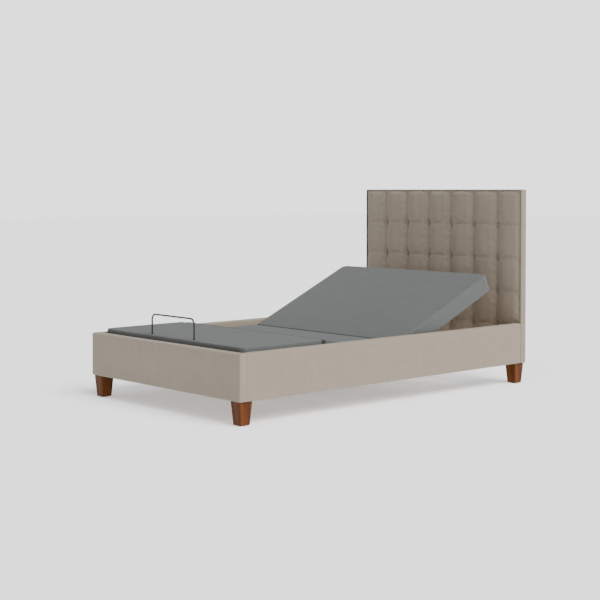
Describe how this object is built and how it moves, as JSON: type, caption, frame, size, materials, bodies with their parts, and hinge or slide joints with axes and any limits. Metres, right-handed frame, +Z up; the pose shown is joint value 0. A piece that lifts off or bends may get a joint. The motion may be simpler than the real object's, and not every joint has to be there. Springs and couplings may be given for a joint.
{
  "type": "adjustable bed base",
  "caption": "Upholstered adjustable bed base with a tufted headboard, a raising back section, a folding leg section and a foot-end mattress retainer.",
  "frame": {"origin": "middle of the footprint, on the floor", "axes": "+Z up, +Y from the foot rail to the headboard, +X across the bed to the right seen from the foot"},
  "size_m": [1.28, 2.17, 1.136],
  "materials": {
    "surround_fabric": "woven beige upholstery",
    "carcass_timber": "plain sawn timber and particle board",
    "deck_plywood": "plain plywood",
    "leg_wood": "brown stained, satin lacquer",
    "deck_fabric": "dark grey woven cover",
    "zinc_steel": "zinc plated",
    "black_steel": "satin black powder coat",
    "black_plastic": "matte black",
    "pad_rubber": "matte",
    "motor_steel": "grey painted can",
    "nut_plastic": "natural nylon",
    "circuit_board": "green solder resist"
  },
  "bodies": {
    "base": {"foot_rail_board": "carcass_timber", "foot_rail_cover": "surround_fabric", "side_rail_board_left": "carcass_timber", "side_rail_board_right": "carcass_timber", "side_rail_cover_left": "surround_fabric", "side_rail_cover_right": "surround_fabric", "headboard_panel": "carcass_timber", "headboard_pad": "surround_fabric", "headboard_wrap": "surround_fabric", "headboard_buttons": "surround_fabric", "corner_blocks": "carcass_timber", "leg_front_left": "leg_wood", "leg_front_right": "leg_wood", "leg_rear_left": "leg_wood", "leg_rear_right": "leg_wood", "leg_plates": "zinc_steel", "leg_glides": "black_plastic", "ledger_left": "carcass_timber", "ledger_right": "carcass_timber", "frame_tube_left": "black_steel", "frame_tube_right": "black_steel", "cross_tubes": "black_steel", "rest_pads": "pad_rubber", "seat_board": "deck_plywood", "seat_frame": "carcass_timber", "seat_cover": "deck_fabric", "shaft_bearings": "black_plastic", "seat_hinge_leaves": "zinc_steel", "drive_housing_lower": "black_plastic", "drive_housing_upper": "black_plastic", "drive_motors": "motor_steel", "control_board": "circuit_board", "drive_sockets": "black_plastic", "calf_link_posts": "black_steel"},
    "back": {"back_board": "deck_plywood", "back_frame": "carcass_timber", "back_cover": "deck_fabric", "back_hinge_leaves": "zinc_steel", "back_lift_lugs": "black_steel"},
    "thigh": {"thigh_board": "deck_plywood", "thigh_frame": "carcass_timber", "thigh_cover": "deck_fabric", "thigh_hinge_leaves": "zinc_steel", "thigh_lift_lugs": "black_steel"},
    "calf": {"calf_board": "deck_plywood", "calf_frame": "carcass_timber", "calf_cover": "deck_fabric", "calf_hinge_leaves": "zinc_steel", "calf_link_lugs": "black_steel", "retainer_bar": "black_steel", "retainer_collars": "black_plastic"},
    "calf_links": {"calf_links": "black_steel"},
    "back_lift": {"back_lift_shaft": "black_steel"},
    "back_rods": {"back_lift_rods": "black_steel"},
    "thigh_lift": {"thigh_lift_shaft": "black_steel"},
    "thigh_rods": {"thigh_lift_rods": "black_steel"},
    "back_nut": {"back_slider": "nut_plastic"},
    "thigh_nut": {"thigh_slider": "nut_plastic"},
    "back_screw": {"back_spindle": "zinc_steel"},
    "thigh_screw": {"thigh_spindle": "zinc_steel"}
  },
  "joints": [
    {"name": "back_hinge", "type": "hinge", "parent": "base", "child": "back", "pos_m": [0, 0.056, 0.304], "axis": [1, 0, 0], "range_deg": [-24.2, 37.8]},
    {"name": "thigh_hinge", "type": "hinge", "parent": "base", "child": "thigh", "pos_m": [0, -0.193, 0.304], "axis": [-1, 0, 0], "range_deg": [-10.5, 26.5]},
    {"name": "knee_hinge", "type": "hinge", "parent": "thigh", "child": "calf", "pos_m": [0, -0.5, 0.29378], "axis": [-1, 0, 0], "range_deg": [-26.6, 10.6]},
    {"name": "calf_link_pivot", "type": "hinge", "parent": "base", "child": "calf_links", "pos_m": [0, -0.378, 0.208], "axis": [-1, 0, 0], "range_deg": [-10.6, 26.6]},
    {"name": "back_shaft_turn", "type": "hinge", "parent": "base", "child": "back_lift", "pos_m": [0, 0.216, 0.188], "axis": [1, 0, 0], "range_deg": [-24.3, 37.9]},
    {"name": "back_rod_pivot", "type": "hinge", "parent": "back", "child": "back_rods", "pos_m": [0, 0.36993, 0.40562], "axis": [1, 0, 0], "range_deg": [-37.9, 24.3]},
    {"name": "thigh_shaft_turn", "type": "hinge", "parent": "base", "child": "thigh_lift", "pos_m": [0, -0.323, 0.188], "axis": [-1, 0, 0], "range_deg": [-10.6, 26.6]},
    {"name": "thigh_rod_pivot", "type": "hinge", "parent": "thigh", "child": "thigh_rods", "pos_m": [0, -0.39326, 0.3045], "axis": [-1, 0, 0], "range_deg": [-26.6, 10.6]},
    {"name": "back_slider_travel", "type": "slide", "parent": "base", "child": "back_nut", "axis": [0, 1, 0], "range_m": [-0.01372, 0.0214]},
    {"name": "thigh_slider_travel", "type": "slide", "parent": "base", "child": "thigh_nut", "axis": [0, -1, 0], "range_m": [-0.00617, 0.0155]},
    {"name": "back_spindle_turn", "type": "hinge", "parent": "base", "child": "back_screw", "pos_m": [0, 0.216, 0.139], "axis": [0, 1, 0], "range_deg": [-1235.31, 1926.72]},
    {"name": "thigh_spindle_turn", "type": "hinge", "parent": "base", "child": "thigh_screw", "pos_m": [0, -0.323, 0.139], "axis": [0, -1, 0], "range_deg": [-556.08, 1395.82]}
  ],
  "couplings": [
    {"joint": "knee_hinge", "follows": "thigh_hinge", "ratio": -1},
    {"joint": "calf_link_pivot", "follows": "thigh_hinge", "ratio": 1},
    {"joint": "thigh_shaft_turn", "follows": "thigh_hinge", "ratio": 1},
    {"joint": "thigh_rod_pivot", "follows": "thigh_hinge", "ratio": -1},
    {"joint": "thigh_slider_travel", "follows": "thigh_hinge", "m_per_rad": 0.033412},
    {"joint": "thigh_spindle_turn", "follows": "thigh_hinge", "ratio": 52.484},
    {"joint": "back_shaft_turn", "follows": "back_hinge", "ratio": 1},
    {"joint": "back_rod_pivot", "follows": "back_hinge", "ratio": -1},
    {"joint": "back_slider_travel", "follows": "back_hinge", "m_per_rad": 0.032365},
    {"joint": "back_spindle_turn", "follows": "back_hinge", "ratio": 50.839}
  ]
}
